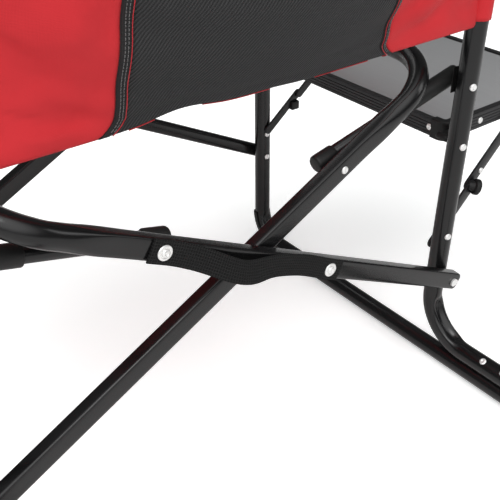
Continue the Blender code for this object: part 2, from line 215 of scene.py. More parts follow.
MATERIALS = {
    "tube": powder_coat("black_powder_coat", base=(0.0050, 0.0050, 0.0053), rough=0.20),
    "flat": powder_coat("black_powder_coat_flat", base=(0.009, 0.009, 0.010), rough=0.34),
    "plastic": moulded("black_moulded_plastic", base=grey(0.007), rough=0.46),
    "steel": bright_steel("bright_rivet_steel"),
    "edge": brushed("anodised_edge", base=(0.018, 0.018, 0.019), rough=0.36, metal=0.35),
    "top": brushed("grey_panel", base=(0.33, 0.335, 0.34), rough=0.5, metal=0.25),
    "web": weave("black_webbing", dark=grey(0.0025), light=grey(0.021), pitch=0.0030, rough=0.8,
                 strength=1.0, sheen=0.01, depth=0.0013, spec=0.10),
    # red nylon: its strong colour noise (blotch) paints the shade of soft folds into the colour
    "red": weave("red_nylon", dark=(0.30, 0.012, 0.015), light=(0.57, 0.027, 0.034),
                 pitch=0.0009, rough=0.68, strength=0.25, sheen=0.03, mottle_and_fold_shade=0.95, patch=24),
    "mesh": weave("black_ribbed_cloth", dark=(0.009, 0.009, 0.0095),
                  light=(0.044, 0.044, 0.045), pitch=0.0030, rough=0.70, strength=0.8,
                  diagonal=True, sheen=0.03, depth=0.0007),
    "bind": weave("black_binding", dark=grey(0.008), light=(0.026, 0.026, 0.027),
                  pitch=0.0012, rough=0.7, strength=0.6, sheen=0.06),
    "piping": weave("red_piping", dark=(0.30, 0.008, 0.012), light=(0.52, 0.02, 0.03),
                    pitch=0.0010, rough=0.6, strength=0.4),
    "thread": weave("grey_thread", dark=grey(0.07), light=grey(0.20), pitch=0.0006, rough=0.6,
                    strength=0.4),
}
slot_of = {part["node"]: part["material_slot"] for part in frame["record"]["subparts"]}
for node_name, cad_piece in frame["nodes"].items():
    cad_piece.data.materials.clear()
    cad_piece.data.materials.append(MATERIALS[slot_of[node_name]])


# ------------------------------------------------------------------ mesh helpers
def link(obj):
    bpy.context.scene.collection.objects.link(obj)
    return obj


def mesh_obj(name, verts, faces, kind, uvs=None):
    """A smooth mesh of the material MATERIALS[kind]; uvs holds one pair per vertex."""
    mesh = bpy.data.meshes.new(name)
    mesh.from_pydata([tuple(Vector(v) + OFFSET) for v in verts], [], faces)
    mesh.update()
    obj = link(bpy.data.objects.new(name, mesh))
    mesh.materials.append(MATERIALS[kind])
    mesh.shade_smooth()
    if uvs:
        layer = mesh.uv_layers.new(name="UVMap")
        for loop in mesh.loops:
            layer.data[loop.index].uv = uvs[loop.vertex_index]
    return obj


def place(obj, slot, body, *replaced):
    if replaced:
        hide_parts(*replaced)
    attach(obj, body)


def soften(obj, degrees):
    """Smooth shading, with edges sharper than the angle kept crisp."""
    obj.data.shade_smooth()
    obj.data.set_sharp_from_angle(angle=math.radians(degrees))


def face_out(obj):
    bm = bmesh.new()
    bm.from_mesh(obj.data)
    bmesh.ops.recalc_face_normals(bm, faces=bm.faces)
    bm.to_mesh(obj.data)
    bm.free()


def evaluated_mesh(obj):
    depsgraph = bpy.context.evaluated_depsgraph_get()
    return bpy.data.meshes.new_from_object(obj.evaluated_get(depsgraph))


def apply_modifiers(obj):
    mesh = evaluated_mesh(obj)
    obj.modifiers.clear()
    obj.data = mesh


def bevel(obj, width, segments):
    modifier = obj.modifiers.new("edge", "BEVEL")
    modifier.width = width
    modifier.segments = segments
    modifier.limit_method = "ANGLE"
    apply_modifiers(obj)


def thicken(obj, thickness):
    modifier = obj.modifiers.new("thick", "SOLIDIFY")
    modifier.thickness = thickness
    modifier.offset = 1.0
    modifier.use_even_offset = True
    apply_modifiers(obj)


def loft_faces(rows, n):
    """Faces joining rows of n vertices each, closed round every row and capped at both ends."""
    faces = [[i * n + k, i * n + (k + 1) % n, (i + 1) * n + (k + 1) % n, (i + 1) * n + k]
             for i in range(rows - 1) for k in range(n)]
    return faces + [list(range(n))[::-1], [(rows - 1) * n + k for k in range(n)]]


def walk(points):
    """Each point with its direction of travel and its distance from the start."""
    distance = 0.0
    for i, point in enumerate(points):
        if i:
            distance += (point - points[i - 1]).length
        ahead = points[min(i + 1, len(points) - 1)]
        yield point, (ahead - points[max(i - 1, 0)]).normalized(), distance


def lathe(name, profile, at, axis, kind, sides=28):
    """A turned piece: profile of (radius, height) about axis, standing on the point at."""
    z = Vector(axis).normalized()
    x = z.orthogonal().normalized()
    y = z.cross(x)
    verts = []
    for radius, height in profile:
        for k in range(sides):
            a = 2 * math.pi * k / sides
            verts.append(Vector(at) + z * height + (x * math.cos(a) + y * math.sin(a)) * radius)
    obj = mesh_obj(name, verts, loft_faces(len(profile), sides), kind)
    soften(obj, 50)
    return obj


def rivet(name, at, facing, body, radius, height):
    """A domed rivet head with a small rolled dimple, standing on a tube or a bar."""
    r, h = radius, height
    profile = [(r, -0.0006), (r, h * 0.25), (r * 0.93, h * 0.62), (r * 0.76, h * 0.90),
               (r * 0.52, h), (r * 0.40, h * 0.86), (r * 0.28, h * 0.72), (r * 0.10, h * 0.70)]
    place(lathe(name, profile, at, facing, "steel"), "steel", body)


def block(name, low, high, kind, body, width):
    """A box between two corners, its edges rounded by width."""
    verts = [Vector((x, y, z)) for x in (low[0], high[0]) for y in (low[1], high[1])
             for z in (low[2], high[2])]
    faces = [[0, 1, 3, 2], [4, 6, 7, 5], [0, 4, 5, 1], [2, 3, 7, 6], [0, 2, 6, 4], [1, 5, 7, 3]]
    obj = mesh_obj(name, verts, faces, kind)
    bevel(obj, width, 3)
    soften(obj, 40)
    place(obj, kind, body)
    return obj


# ------------------------------------------------------------------ frame dimensions
TUBE_R = 0.0125
HALF_WIDTH = 0.318             # side frames stand at x = +-HALF_WIDTH
SEAT_TILT = 0.0709             # rise of the seat per metre forwards
CROSS_SLOPE = 0.514            # rise of the crossing tubes per metre sideways
CROSS_HALF_HEIGHT, CROSS_HALF_THICK = 0.0120, 0.0083
REAR_A, FRONT_A = -0.2132, 0.2146    # y of frame A's crossing tubes
REAR_B, FRONT_B = -0.1948, 0.1714    # y of frame B's crossing tubes
RAIL_A, RAIL_B = -0.278, 0.270       # x of the seat rails
PIVOT_Z = 0.1413               # foot of the crossing tubes, at REAR_A
KNEE_Z = 0.540                 # where the rear posts begin to recline
LEG_Y = {"right": -0.1885, "left": -0.1688}    # rear legs, produced down to z = 0
LEAN = math.tan(math.radians(1.25))
RECLINE = math.tan(math.radians(14.0))
FRONT_Y, BASE_Z, ARM_Z = 0.193, 0.0159, 0.655
TAIL_START, TAIL_R, TAIL_END = -0.345, 0.450, -0.500    # upward curve of the ground rail
FOOT_Z = BASE_Z + 2 * TUBE_R + 0.0004    # rear leg's foot, lying on the ground rail
GUARD_TOP, GUARD_END = 0.063, 0.098      # bend guard: top z, and y of its rear end
SIDES = (("right", 1, "root"), ("left", -1, "left_frame"))    # side, sign of x, body

# z of the rivets on each side's legs
LEG_RIVETS = {"right": (0.4150, 0.3370, 0.2060), "left": (0.4120, 0.1440)}
FRONT_LEG_RIVETS = {"right": (0.4430, 0.3370, 0.2120, 0.1716), "left": (0.4380, 0.1716)}


def tilt(y):
    return SEAT_TILT * (y - REAR_A)


def height_a(x, y):
    """Frame A rises from the right side frame to the left rail."""
    return PIVOT_Z + (HALF_WIDTH - x) * CROSS_SLOPE + tilt(y)


def height_b(x, y):
    """Frame B rises from the left side frame to the right rail."""
    return PIVOT_Z + (x + HALF_WIDTH) * CROSS_SLOPE + tilt(y)


def post_y(z, side):
    if z < KNEE_Z:
        return LEG_Y[side] - z * LEAN
    return LEG_Y[side] - KNEE_Z * LEAN - (z - KNEE_Z) * RECLINE


# ------------------------------------------------------------------ swept tubes
def round_path(corners, radii, steps):
    """The polyline through corners, each inner corner rounded to its radius."""
    points = [Vector(corners[0])]
    for i in range(1, len(corners) - 1):
        corner = Vector(corners[i])
        u = (Vector(corners[i - 1]) - corner).normalized()
        v = (Vector(corners[i + 1]) - corner).normalized()
        half = 0.5 * u.angle(v)
        reach = radii[i - 1] / math.tan(half)
        centre = corner + (u + v).normalized() * (radii[i - 1] / math.sin(half))
        a = corner + u * reach - centre
        b = corner + v * reach - centre
        turn = a.angle(b)
        for k in range(steps + 1):
            t = k / steps
            arm = a * math.sin((1 - t) * turn) + b * math.sin(t * turn)
            points.append(centre + arm / math.sin(turn))
    points.append(Vector(corners[-1]))
    return points


def dense(points, step=0.012):
    """Extra points on the straights, and close ones at both ends."""
    filled = [points[0]]
    for a, b in zip(points, points[1:]):
        count = max(1, int(math.ceil((b - a).length / step)))
        filled += [a.lerp(b, i / count) for i in range(1, count + 1)]

    def tip(a, b):
        along = (b - a).normalized()
        distances = (0.0, 0.0004, 0.0015, 0.0032, 0.0055, 0.008)
        return [a + along * t for t in distances if t < (b - a).length]

    return tip(filled[0], filled[1]) + filled[1:-1] + tip(filled[-1], filled[-2])[::-1]


def smooth01(t):
    t = max(0.0, min(1.0, t))
    return t * t * (3 - 2 * t)


def window(value, low, high, edge):
    """One between low and high, fading to zero over edge inside each end."""
    return smooth01((value - low) / edge) * smooth01((high - value) / edge)


def sweep(name, points, normal, sign, section, sides=36, tip=0.0):
    """A tube along points in the plane with the given normal.

    section(point, along) gives half width, half height, squareness and crush, a flattening
    of the inner side of a bend. The ends are rounded over the length tip.
    """
    normal = Vector(normal).normalized()
    verts, uvs = [], []
    total = sum((b - a).length for a, b in zip(points, points[1:]))
    for point, along, distance in walk(points):
        inward = along.cross(normal).normalized() * sign
        across = along.cross(inward).normalized()
        half_width, half_height, squareness, crush = section(point, along)
        from_end = min(distance, total - distance)
        if tip and from_end < tip:
            cut = tip * (1 - math.sqrt(max(0.0, 1 - (1 - from_end / tip) ** 2)))
            half_height -= cut
            half_width -= cut * 0.35
        for k in range(sides):
            a = 2 * math.pi * k / sides
            c, s = math.cos(a), math.sin(a)
            from_inner = abs(a if a <= math.pi else a - 2 * math.pi)
            # a dent on the inner side, and a bulge on either side of it
            dent = (1 - crush * math.exp(-(from_inner / 0.50) ** 4)
                    + crush * 0.22 * math.exp(-((from_inner - 0.92) / 0.26) ** 2))
            u = half_width * dent * math.copysign(abs(c) ** (2 / squareness), c)
            v = half_height * dent * math.copysign(abs(s) ** (2 / squareness), s)
            verts.append(point + inward * u + across * v)
            uvs.append((distance, a * TUBE_R))
    obj = mesh_obj(name, verts, loft_faces(len(points), sides), "tube", uvs)
    face_out(obj)
    soften(obj, 55)
    return obj


# ------------------------------------------------------------------ side frames
def front_path(x):
    """Arm, front leg and ground rail, as far as the tail."""
    corners = [(x, -0.150, ARM_Z), (x, FRONT_Y, ARM_Z), (x, FRONT_Y, BASE_Z),
               (x, TAIL_START, BASE_Z)]
    return round_path(corners, [0.050, 0.050], 26)


def rail_tube(side, x, body):
    steps = 20
    tail = []
    for j in range(1, steps + 1):
        y = TAIL_START + (TAIL_END - TAIL_START) * j / steps
        back = max(0.0, TAIL_START - y)
        tail.append(Vector((x, y, BASE_Z + TAIL_R - math.sqrt(TAIL_R ** 2 - back * back))))

    def section(point, along):
        if point.z < 0.3:    # the lower bend, from down the leg to along the rail
            crush = 0.34 * window(math.atan2(-along.y, -along.z), 0.04, 1.53, 0.42)
        else:
            crush = 0.26 * window(math.atan2(-along.z, along.y), 0.04, 1.53, 0.42)
        return TUBE_R * (1 + 0.05 * crush), TUBE_R * (1 + 0.10 * crush), 2.0, crush

    obj = sweep("rail_tube_" + side, dense(front_path(x) + tail), (1, 0, 0), 1, section)
    place(obj, "tube", body, "front_leg_rail_" + side)


def post_tube(side, x, body):
    """Foot, rear leg and reclined post."""
    corners = [(x, y, z) for y, z in ((-0.340, FOOT_Z), (post_y(FOOT_Z, side), FOOT_Z),
                                      (post_y(KNEE_Z, side), KNEE_Z),
                                      (post_y(0.915, side), 0.915))]

    def section(point, along):
        turned = math.atan2(along.z, along.y) if point.z < 0.2 else 0.0
        crush = 0.50 * window(turned, 0.10, 1.56, 0.34)
        return TUBE_R * (1.03 + 0.02 * crush), TUBE_R * (1.03 + 0.10 * crush), 2.0, crush

    path = dense(round_path(corners, [0.068, 0.120], 30))
    obj = sweep("post_tube_" + side, path, (1, 0, 0), -1, section, sides=48)
    place(obj, "tube", body, "rear_leg_post_" + side)


def bend_guard(side, x, body):
    """Moulded guard on the outer side of the lower front bend."""
    inside = [p for p in front_path(x) if p.z < GUARD_TOP and p.y > GUARD_END]
    path = [Vector((x, FRONT_Y, GUARD_TOP))] + inside + [Vector((x, GUARD_END, BASE_Z))]
    path = [p for j, p in enumerate(path) if j == 0 or (p - path[j - 1]).length > 0.0006]
    arc = [math.pi - 1.72 + 3.44 * j / 18 for j in range(19)]
    verts = []
    for point, along, _ in walk(path):
        inward = along.cross(Vector((1, 0, 0))).normalized()
        across = along.cross(inward).normalized()
        for clearance, angles in ((0.0027, arc), (0.0004, arc[::-1])):
            radius = TUBE_R + clearance
            for a in angles:
                verts.append(point + inward * (radius * math.cos(a))
                             + across * (radius * math.sin(a)))
    obj = mesh_obj("bend_guard_" + side, verts, loft_faces(len(path), 2 * len(arc)), "plastic")
    face_out(obj)
    soften(obj, 40)
    place(obj, "plastic", body)


def frame_rivets(side, sign, x, body):
    for key, y, radius, height in (("a", -0.2935, 0.0046, 0.0018), ("b", -0.3240, 0.0028, 0.0012)):
        rivet(f"foot_rivet_{key}_{side}", (x - 0.0062, y, FOOT_Z + 0.0108), (-0.50, 0, 0.866),
              body, radius, height)
    turn = math.radians(17)    # the leg's rivets face the rear, turned a little to the left
    for j, z in enumerate(LEG_RIVETS[side]):
        at = (x - TUBE_R * 1.03 * math.sin(turn),
              post_y(z, side) - TUBE_R * 1.03 * math.cos(turn), z)
        rivet(f"leg_rivet_{side}_{j}", at, (-math.sin(turn), -math.cos(turn), 0), body,
              0.0046, 0.0020)
    for j, z in enumerate(FRONT_LEG_RIVETS[side]):
        for key, facing in (("", -1), ("out_", 1)):
            rivet(f"front_leg_rivet_{key}{side}_{j}", (x, FRONT_Y + facing * TUBE_R, z),
                  (0, facing, 0), body, 0.0044, 0.0018)
    for j, y in enumerate((-0.232, -0.138)):
        rivet(f"arm_rivet_{side}_{j}", (x + sign * (TUBE_R + 0.0035), y, ARM_Z), (sign, 0, 0),
              body, 0.0042, 0.0018)


for side, sign, body in SIDES:
    x = sign * HALF_WIDTH
    rail_tube(side, x, body)
    post_tube(side, x, body)
    bend_guard(side, x, body)
    frame_rivets(side, sign, x, body)


# ------------------------------------------------------------------ seat frames
def seat_tube(key, pivot_x, rail_x, height_at, rear, front, radius):
    """One seat frame: flat-sided crossing tubes at rear and front, and the round rail."""
    outward = 1 if pivot_x > rail_x else -1
    end_x = pivot_x + outward * 0.0135
    corners = [(x, y, height_at(x, y)) for x, y in ((end_x, rear), (rail_x, rear),
                                                    (rail_x, front), (end_x, front))]
    core = round_path(corners, [radius, radius], 30)
    rail = Vector((0, 1, SEAT_TILT)).normalized()
    crossing = Vector((outward, 0, -CROSS_SLOPE)).normalized()
    normal = crossing.cross(rail).normalized()

    def section(point, along):
        flat = smooth01((abs(point.x - rail_x) - radius) / 0.060)
        crush = 0.30 * window(math.acos(min(1, abs(along.dot(rail)))), 0.06, 1.50, 0.35)
        # the front tube of frame A is slimmer and rounder
        slim = flat * smooth01(point.y / 0.10) if outward > 0 else 0.0
        return (TUBE_R + (CROSS_HALF_THICK - TUBE_R) * flat,
                TUBE_R + (CROSS_HALF_HEIGHT - 0.0017 * slim - TUBE_R) * flat,
                2.0 + 4.2 * flat * (1 - 0.9 * slim), crush)

    # the first bend turns towards the rail: its inner side is on the rail's side
    start = (core[1] - core[0]).normalized()
    sign = 1 if start.cross(normal).dot(Vector((0, 1, 0))) > 0 else -1
    obj = sweep("seat_frame_tube_" + key, dense(core, 0.008), normal, sign, section, sides=56,
                tip=0.0062)
    place(obj, "tube", "seat_frame_" + key, "seat_tube_" + key)


seat_tube("a", HALF_WIDTH, RAIL_A, height_a, REAR_A, FRONT_A, 0.060)
seat_tube("b", -HALF_WIDTH, RAIL_B, height_b, REAR_B, FRONT_B, 0.067)

LINK_X_RIGHT, LINK_X_LEFT = 0.122, -0.116    # lower pivots of the links
handle_x = HALF_WIDTH + 0.0050
rivet("handle_end_rivet",
      (handle_x, REAR_A - CROSS_HALF_THICK - 0.0002, height_a(handle_x, REAR_A) - 0.001),
      (0, -1, 0), "seat_frame_a", 0.0044, 0.0022)
# name, frame, height on it, x, y of the tube, y it faces, radius, height
for name, key, height_at, x, y, facing, radius, height in (
        ("link_rivet_b_rear", "b", height_b, 0.1185, REAR_B, -1, 0.0045, 0.0022),
        ("link_rivet_b_front", "b", height_b, LINK_X_RIGHT, FRONT_B, 1, 0.0045, 0.0022),
        ("link_rivet_a_rear", "a", height_a, LINK_X_LEFT, REAR_A, 1, 0.0045, 0.0018),
        ("link_rivet_a_front", "a", height_a, LINK_X_LEFT, FRONT_A, 1, 0.0045, 0.0022),
        ("cross_rivet_front", "a", height_a, 0.0, FRONT_A, 1, 0.0055, 0.0026)):
    rivet(name, (x, y + facing * CROSS_HALF_THICK, height_at(x, y)), (0, facing, 0),
          "seat_frame_" + key, radius, height)

# ------------------------------------------------------------------ links
LINK_R, LINK_CLEARANCE = 0.0085, 0.0055


def seat_link(side, end, low, high, start, extra, sleeve_length, sleeve_r):
    """A tube from pivot low to pivot high, with an end cap below and a thick sleeve above.

    The tube runs on past the low pivot by start, and past the high one by 9 mm and extra.
    """
    length = (high - low).length
    along = (high - low).normalized()
    foot = low - along * start
    top = length + 0.009 + extra
    name, body = f"{side}_{end}", side + "_links"
    profile = [(0.0078, 0.0), (LINK_R, 0.0007), (LINK_R, top - 0.001), (0.0078, top)]
    place(lathe("link_tube_" + name, profile, foot, along, "tube", 32), "tube", body,
          "link_" + name)
    profile = [(0.0070, -0.0042), (0.0092, -0.0036), (0.0102, -0.0020), (0.0104, 0.0),
               (0.0104, 0.0225), (0.0098, 0.0236), (0.0087, 0.0238)]
    place(lathe("link_cap_" + name, profile, foot, along, "plastic", 36), "plastic", body)
    begin = length - sleeve_length
    profile = [(0.0087, begin), (sleeve_r - 0.0004, begin + 0.0003), (sleeve_r, begin + 0.0010),
               (sleeve_r, length + 0.006), (sleeve_r - 0.0006, length + 0.0075),
               (0.0087, length + 0.008)]
    place(lathe("link_sleeve_" + name, profile, low, along, "plastic", 36), "plastic", body)


# side, x of low and high pivots, z of the high one, crossing tubes' y, then as in seat_link
for side, low_x, high_x, high_z, rear, front, *sizes in (
        ("right", LINK_X_RIGHT, HALF_WIDTH, 0.415, REAR_B, FRONT_B, 0.016, 0.010, 0.071, 0.0106),
        ("left", LINK_X_LEFT, -0.292, 0.410, REAR_A, FRONT_A, 0.009, 0.004, 0.046, 0.0112)):
    for end, y in (("rear", rear + CROSS_HALF_THICK + LINK_CLEARANCE + LINK_R),
                   ("front", front - CROSS_HALF_THICK - LINK_CLEARANCE - LINK_R)):
        low_z = PIVOT_Z + (abs(low_x) + HALF_WIDTH) * CROSS_SLOPE + tilt(y)
        seat_link(side, end, Vector((low_x, y, low_z)), Vector((high_x, y, high_z + tilt(y))),
                  *sizes)

# ------------------------------------------------------------------ side table
TABLE_X0, TABLE_X1, TABLE_Y0, TABLE_Y1 = 0.334, 0.612, -0.163, 0.166
TABLE_Z = 0.337
CORNER_R = 0.014
PANEL_INSET = 0.0094


def table_outline(steps):
    """Points and outward normals round the table, from the front right corner."""
    left, right = TABLE_X0 + CORNER_R, TABLE_X1 - CORNER_R
    rear, front = TABLE_Y0 + CORNER_R, TABLE_Y1 - CORNER_R
    outline = []
    for x, y, first in ((right, front, 0), (left, front, 90), (left, rear, 180),
                        (right, rear, 270)):
        for j in range(steps + 1):
            a = math.radians(first + 90 * j / steps)
            normal = Vector((math.cos(a), math.sin(a), 0))
            point = Vector((x + CORNER_R * math.cos(a), y + CORNER_R * math.sin(a), 0))
            outline.append((point, normal))
    return outline


def moulding(name, path, section, kind, closed):
    """A section of (outward, z) carried along a path of points and normals."""
    verts = [Vector((p.x + normal.x * out, p.y + normal.y * out, z))
             for p, normal in path for out, z in section]
    n, rows = len(section), len(path)
    faces = []
    for j in range(rows if closed else rows - 1):
        here, after = j * n, (j + 1) % rows * n
        for q in range(n):
            faces.append([here + q, after + q, after + (q + 1) % n, here + (q + 1) % n])
    if not closed:
        faces.append(list(range(n)))
        faces.append([(rows - 1) * n + q for q in range(n)][::-1])
    obj = mesh_obj(name, verts, faces, kind)
    face_out(obj)
    soften(obj, 28)
    return obj


def table_rim():
    """The edge frame, with five ribs on its outer face."""
    section = [(-0.009, 0.3445), (-0.0018, 0.3450), (-0.0004, 0.3442)]
    z = 0.3425
    for _ in range(5):
        section += [(0.0, z), (0.0, z - 0.0024), (-0.0009, z - 0.0030), (-0.0009, z - 0.0037)]
        z -= 0.0043
    section += [(-0.0004, 0.3216), (-0.0018, 0.3210), (-0.009, 0.3212)]
    obj = moulding("table_rim", table_outline(8), section, "edge", closed=True)
    place(obj, "edge", "table", "table_edge_frame")


def table_corner(j):
    """A moulded corner cap, running 10 mm along both sides."""
    section = [(-0.0100, 0.3462), (0.0000, 0.3464), (0.0011, 0.3452), (0.0014, 0.3425),
               (0.0014, 0.3235), (0.0010, 0.3208), (0.0, 0.3198), (-0.0100, 0.3200)]
    arc = table_outline(10)[j * 11:(j + 1) * 11]

    def beyond(end, distance):
        point, normal = end
        return point + Vector((-normal.y, normal.x, 0)) * distance, normal

    path = [beyond(arc[0], -0.010)] + arc + [beyond(arc[-1], 0.010)]
    place(moulding(f"table_corner_{j}", path, section, "plastic", closed=False), "plastic",
          "table")


def table_hinge(end, y0, y1, leaf_y0, leaf_y1):
    """A barrel about the leg's axis and a leaf reaching under the table."""
    length, radius = y1 - y0, 0.0046
    profile = [(0.0020, 0.0), (0.0036, 0.0004), (radius, 0.0018), (radius, length - 0.0018),
               (0.0036, length - 0.0004), (0.0020, length)]
    obj = lathe("table_hinge_barrel_" + end, profile, (HALF_WIDTH, y0, TABLE_Z), (0, 1, 0),
                "plastic", 32)
    place(obj, "plastic", "table", "table_lug_" + end)
    block("table_hinge_leaf_" + end, (HALF_WIDTH + 0.0015, leaf_y0, TABLE_Z - 0.0040),
          (HALF_WIDTH + 0.038, leaf_y1, TABLE_Z + 0.0020), "plastic", "table", 0.0014)


table_rim()
for j in range(4):
    table_corner(j)
panel_top = block("table_panel",
                  (TABLE_X0 + PANEL_INSET, TABLE_Y0 + PANEL_INSET, TABLE_Z - 0.001),
                  (TABLE_X1 - PANEL_INSET, TABLE_Y1 - PANEL_INSET, TABLE_Z + 0.0050),
                  "top", "table", 0.0008)
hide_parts("table_top")
HINGE_REAR, HINGE_FRONT, LEAF = TABLE_Y0 - 0.0006, TABLE_Y1 + 0.0006, 0.0105
table_hinge("rear", -0.1815, HINGE_REAR, HINGE_REAR - LEAF, HINGE_REAR)
table_hinge("front", HINGE_FRONT, 0.1795, HINGE_FRONT, HINGE_FRONT + LEAF)
for key, at, facing in (("a", (TABLE_X0, -0.1365, 0.3335), (-1, 0, 0)),
                        ("b", (0.4033, TABLE_Y0, 0.3325), (0, -1, 0)),
                        ("c", (TABLE_X0, 0.1395, 0.3335), (-1, 0, 0)),
                        ("d", (0.4033, TABLE_Y1, 0.3325), (0, 1, 0)),
                        ("e", (0.56, TABLE_Y0, 0.3325), (0, -1, 0)),
                        ("f", (0.56, TABLE_Y1, 0.3325), (0, 1, 0))):
    rivet("table_rivet_" + key, at, facing, "table", 0.0044, 0.0018)

# ------------------------------------------------------------------ table struts
STRUT_HALF_THICK = 0.0018
# end, (x, z) of foot, knee and top, y of lower and upper bars, half width, foot's extra length
STRUTS = (
    ("rear", (0.318, 0.1768), (0.3885, 0.2449), (0.4678, 0.3215), -0.1752, -0.1708, 0.0080, 0.0050),
    ("front", (0.318, 0.2205), (0.3786, 0.2696), (0.4427, 0.3215), 0.1776, 0.1732, 0.0062, 0.0),
)


def strut_bar(part, end, low, high, y, radius, extra):
    """A pressed strap of steel with rounded ends; extra shifts its lower end upwards along it."""
    along = Vector((high[0] - low[0], 0, high[1] - low[1]))
    along.normalize()
    across = Vector((-along.z, 0, along.x))
    outline = []
    for (x, z), shift, first in ((low, extra, math.pi / 2), (high, 0.0, -math.pi / 2)):
        for k in range(11):
            t = first + math.pi * k / 10
            outline.append(Vector((x, 0, z)) + along * (shift + radius * math.cos(t))
                           + across * (radius * math.sin(t)))
    verts = [p + Vector((0, y + s * STRUT_HALF_THICK, 0)) for s in (-1, 1) for p in outline]
    n = len(outline)
    faces = [list(range(n)), [n + k for k in range(n)][::-1]]
    faces += [[k, n + k, n + (k + 1) % n, (k + 1) % n] for k in range(n)]
    obj = mesh_obj(f"strut_{part}_bar_{end}", verts, faces, "flat")
    face_out(obj)
    bevel(obj, 0.0006, 2)
    soften(obj, 40)
    place(obj, "flat", f"strut_{part}_{end}", f"table_strut_{part}_{end}")


for end, foot, knee, top, lower_y, upper_y, radius, extra in STRUTS:
    strut_bar("lower", end, foot, knee, lower_y, radius, extra)
    strut_bar("upper", end, knee, top, upper_y, radius, 0.0)
    for key, part, (x, z), y in (("knee", "lower", knee, lower_y), ("top", "upper", top, upper_y)):
        rivet(f"strut_rivet_{key}_{end}", (x, y - STRUT_HALF_THICK, z), (0, -1, 0),
              f"strut_{part}_{end}", 0.0040, 0.0022)
rivet("strut_rivet_stop_rear", (0.4086, -0.1726, 0.2605), (0, -1, 0), "strut_upper_rear",
      0.0042, 0.0022)

# the knob that frees the rear strut at its knee: a barrel with a round head
KNOB_PROFILE = [(0.0052, -0.0050), (0.0066, 0.0), (0.0072, 0.0026), (0.0094, 0.0034),
                (0.0107, 0.0044), (0.0111, 0.0060), (0.0111, 0.0092), (0.0107, 0.0104),
                (0.0096, 0.0111), (0.002, 0.0113)]
knob = lathe("strut_knob_rear", KNOB_PROFILE, (0.3865, -0.1775, 0.2462),
             Vector((0.80, -0.52, -0.30)).normalized(), "plastic", 40)
place(knob, "plastic", "strut_lower_rear")
block("strut_saddle_front", (0.3620, 0.1700, 0.2450), (0.3770, 0.1812, 0.2590), "plastic",
      "strut_lower_front", 0.0018)


# ------------------------------------------------------------------ cloth helpers
def grid_obj(name, nu, nv, fn, kind):
    """A sheet from fn(u, v) -> (point, uv in metres)."""
    points = [fn(i / nu, j / nv) for j in range(nv + 1) for i in range(nu + 1)]
    faces = []
    for j in range(nv):
        for i in range(nu):
            a = j * (nu + 1) + i
            faces.append([a, a + 1, a + nu + 2, a + nu + 1])
    return mesh_obj(name, [p for p, _ in points], faces, kind, [uv for _, uv in points])


def cord(name, points, radius, kind, sides=8):
    """A thin round cord along points."""
    verts, uvs = [], []
    x = None
    for point, along, distance in walk(points):
        if x is None:
            x = along.orthogonal().normalized()
        else:
            x = (x - along * x.dot(along)).normalized()
        y = along.cross(x)
        for k in range(sides):
            a = 2 * math.pi * k / sides
            verts.append(point + (x * math.cos(a) + y * math.sin(a)) * radius)
            uvs.append((distance, a * radius))
    return mesh_obj(name, verts, loft_faces(len(points), sides), kind, uvs)


def joined(name, pieces, kind):
    """Join pieces of one material into a single object."""
    verts, faces, uvs = [], [], []
    for piece in pieces:
        first = len(verts)
        mesh = piece.data
        verts += [v.co - OFFSET for v in mesh.vertices]
        faces += [[first + i for i in face.vertices] for face in mesh.polygons]
        piece_uvs = [(0, 0)] * len(mesh.vertices)
        for loop in mesh.loops:
            piece_uvs[loop.vertex_index] = tuple(mesh.uv_layers[0].data[loop.index].uv)
        uvs += piece_uvs
    for piece in pieces:
        bpy.data.objects.remove(piece, do_unlink=True)
    return mesh_obj(name, verts, faces, kind, uvs)


def wobble(a, b, c):
    return noise.noise(Vector((a, b, c)))


# ------------------------------------------------------------------ back sling: the sheet
HEM_Z, TOP_Z = 0.494, 0.900
BACK_HEIGHT = TOP_Z - HEM_Z
NX, NZ = 84, 54                # cells of the simulated sheet


def index(i, j):
    return j * (NX + 1) + i


def rest_sheet(u, v):
    """The sheet before simulation: between the posts, bulging backwards."""
    x = -HALF_WIDTH + 2 * HALF_WIDTH * u
    z = HEM_Z + BACK_HEIGHT * v
    t = (x + HALF_WIDTH) / (2 * HALF_WIDTH)
    low = smooth01((0.62 - z) / 0.13)
    bulge = 1 - abs(2 * t - 1) ** 6
    y = post_y(z, "left") * (1 - t) + post_y(z, "right") * t - (0.0105 + 0.004 * low) * bulge
    return Vector((x, y, z)), (x, z)


def simulate(sheet):
    """Let the pinned sheet settle as cloth, and return its mesh."""
    last_frame = 26
    pins = sheet.vertex_groups.new(name="pin")
    for j in range(NZ + 1):
        for i in range(NX + 1):
            if i in (0, 1, NX - 1, NX):
                pins.add([index(i, j)], 1.0, "REPLACE")
            elif j in (0, NZ):
                pins.add([index(i, j)], 0.35, "REPLACE")
    cloth = sheet.modifiers.new("cloth", "CLOTH")
    settings = dict(
        vertex_group_mass="pin", quality=6, mass=0.35, air_damping=4, tension_stiffness=25,
        compression_stiffness=12, shear_stiffness=4, bending_stiffness=0.12,
        shrink_min=-0.012, shrink_max=0.0, use_pressure=True, uniform_pressure_force=0.0)
    for key, value in settings.items():
        setattr(cloth.settings, key, value)
    cloth.collision_settings.use_collision = False
    cloth.collision_settings.use_self_collision = False
    cloth.point_cache.frame_start = 1
    cloth.point_cache.frame_end = last_frame
    for number in range(1, last_frame + 1):
        bpy.context.scene.frame_set(number)
    mesh = evaluated_mesh(sheet)
    bpy.context.scene.frame_set(1)
    return mesh


